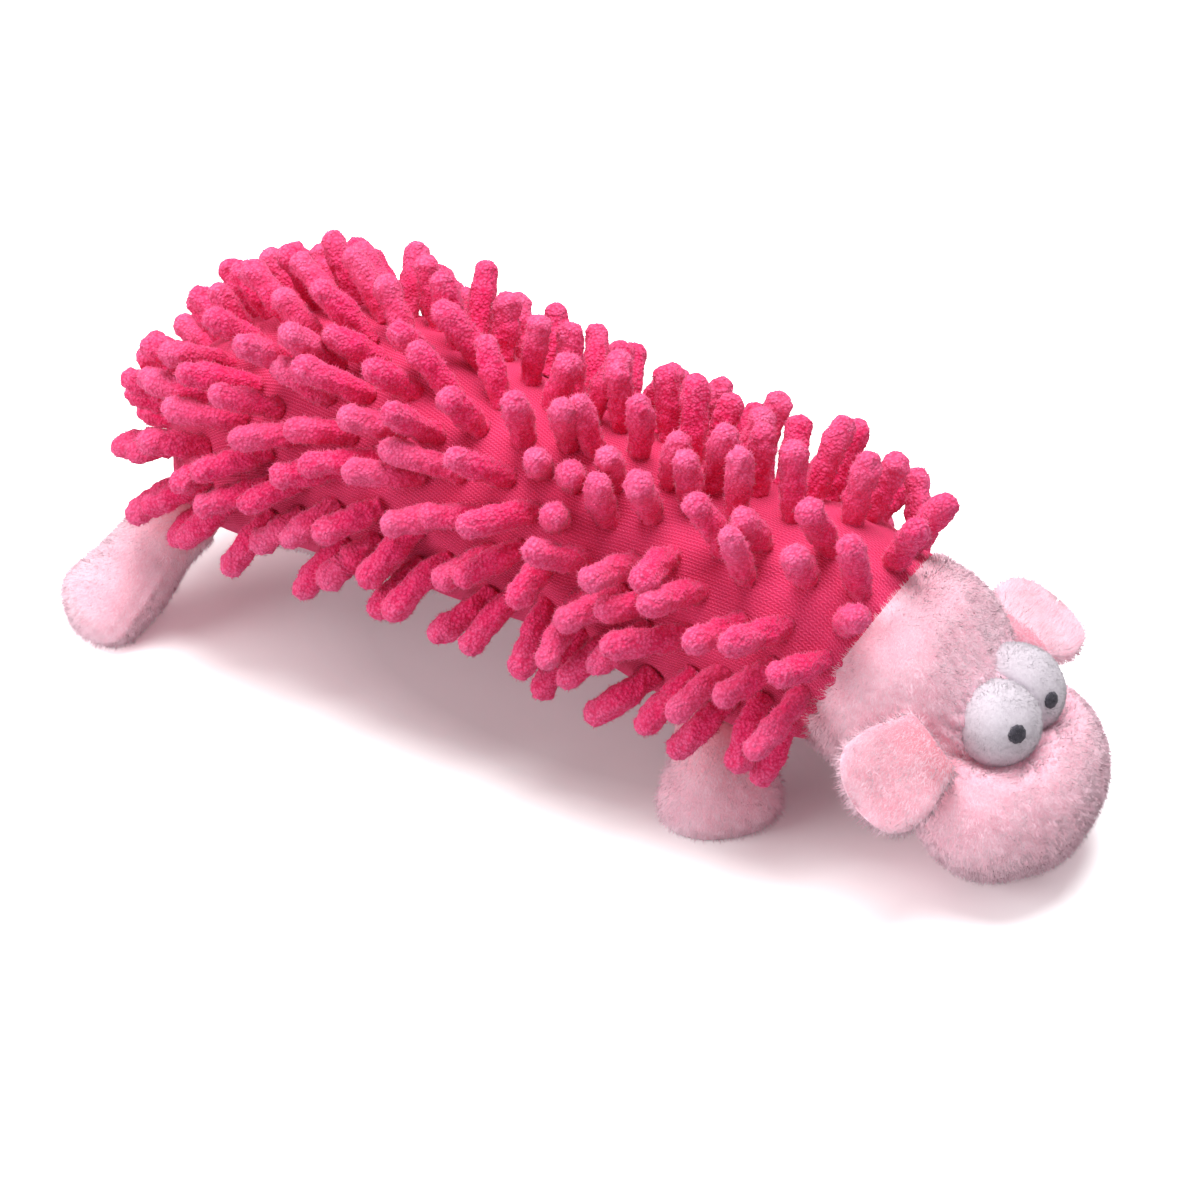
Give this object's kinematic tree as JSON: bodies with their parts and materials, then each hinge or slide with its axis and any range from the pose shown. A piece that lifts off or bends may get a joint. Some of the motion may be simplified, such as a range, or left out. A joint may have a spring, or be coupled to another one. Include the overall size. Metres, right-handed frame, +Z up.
{
  "type": "squeaky dog toy",
  "caption": "Long stuffed animal dog toy with a cover of chenille fingers, a plush head with flap ears and round eyes, short plush legs and a squeaker inside.",
  "frame": {"origin": "centre of the bounding box at floor level, under the middle of the body", "axes": "+X from the rump to the head, +Y to the toy's left, +Z up"},
  "size_m": [0.372, 0.1392, 0.1443],
  "materials": {
    "chenille_pink": "hot pink chenille fingers on a knitted backing",
    "belly_pink": "pale pink short-pile plush",
    "plush_pink": "pale pink short-pile plush with a fuzzy edge",
    "fibre_white": "white fibre filling",
    "eye_white": "white velour",
    "pupil_grey": "dark grey embroidered dot",
    "squeaker_plastic": "soft translucent white moulded plastic",
    "reed_plastic": "grey moulded plastic"
  },
  "bodies": {
    "rear_trunk": {"rear_cover": "chenille_pink", "rear_belly_panel": "belly_pink", "rear_stuffing_upper": "fibre_white", "rear_stuffing_lower": "fibre_white", "squeaker_base": "squeaker_plastic", "squeaker_bellows": "squeaker_plastic", "reed_barrel": "reed_plastic", "reed": "reed_plastic"},
    "front_trunk": {"front_cover": "chenille_pink", "front_belly_panel": "belly_pink", "front_stuffing": "fibre_white"},
    "squeaker_top": {"squeaker_cap": "squeaker_plastic"},
    "head": {"forehead_panel": "plush_pink", "muzzle_panel": "plush_pink", "chin_panel": "plush_pink", "head_stuffing": "fibre_white", "left_eye_cover": "eye_white", "left_eye_stuffing": "fibre_white", "left_pupil": "pupil_grey", "right_eye_cover": "eye_white", "right_eye_stuffing": "fibre_white", "right_pupil": "pupil_grey"},
    "left_ear": {"left_ear_upper": "plush_pink", "left_ear_lower": "plush_pink"},
    "right_ear": {"right_ear_upper": "plush_pink", "right_ear_lower": "plush_pink"},
    "rear_left_leg": {"rear_left_leg_cover": "plush_pink", "rear_left_leg_stuffing": "fibre_white"},
    "rear_right_leg": {"rear_right_leg_cover": "plush_pink", "rear_right_leg_stuffing": "fibre_white"},
    "front_left_leg": {"front_left_leg_cover": "plush_pink", "front_left_leg_stuffing": "fibre_white"},
    "front_right_leg": {"front_right_leg_cover": "plush_pink", "front_right_leg_stuffing": "fibre_white"}
  },
  "joints": [
    {"name": "waist_bend", "type": "hinge", "parent": "rear_trunk", "child": "front_trunk", "pos_m": [0.00799, 0, 0.06888], "axis": [0, 0, 1], "range_deg": [-12, 12]},
    {"name": "head_nod", "type": "hinge", "parent": "front_trunk", "child": "head", "pos_m": [0.11817, 0, 0.05708], "axis": [0, 1, 0], "range_deg": [-20, 12]},
    {"name": "left_ear_flap", "type": "hinge", "parent": "head", "child": "left_ear", "pos_m": [0.14258, 0.03301, 0.05873], "axis": [0.7214, 0.0539, -0.6904], "range_deg": [-25, 25], "stiffness_Nm_per_rad": 0.02},
    {"name": "right_ear_flap", "type": "hinge", "parent": "head", "child": "right_ear", "pos_m": [0.14258, -0.03301, 0.05873], "axis": [-0.7214, 0.0539, 0.6904], "range_deg": [-25, 25], "stiffness_Nm_per_rad": 0.02},
    {"name": "rear_left_leg_swing", "type": "hinge", "parent": "rear_trunk", "child": "rear_left_leg", "pos_m": [-0.15116, 0.02988, 0.03935], "axis": [0, 1, 0], "range_deg": [-15, 15]},
    {"name": "rear_right_leg_swing", "type": "hinge", "parent": "rear_trunk", "child": "rear_right_leg", "pos_m": [-0.15116, -0.02988, 0.03935], "axis": [0, 1, 0], "range_deg": [-15, 15]},
    {"name": "front_left_leg_swing", "type": "hinge", "parent": "front_trunk", "child": "front_left_leg", "pos_m": [0.06488, 0.02654, 0.02598], "axis": [0, 1, 0], "range_deg": [-15, 15]},
    {"name": "front_right_leg_swing", "type": "hinge", "parent": "front_trunk", "child": "front_right_leg", "pos_m": [0.06488, -0.02654, 0.02598], "axis": [0, 1, 0], "range_deg": [-15, 15]},
    {"name": "squeaker_press", "type": "slide", "parent": "rear_trunk", "child": "squeaker_top", "axis": [0, 0, -1], "range_m": [0, 0.006], "stiffness_N_per_m": 300, "deforming": ["squeaker_bellows"]}
  ]
}
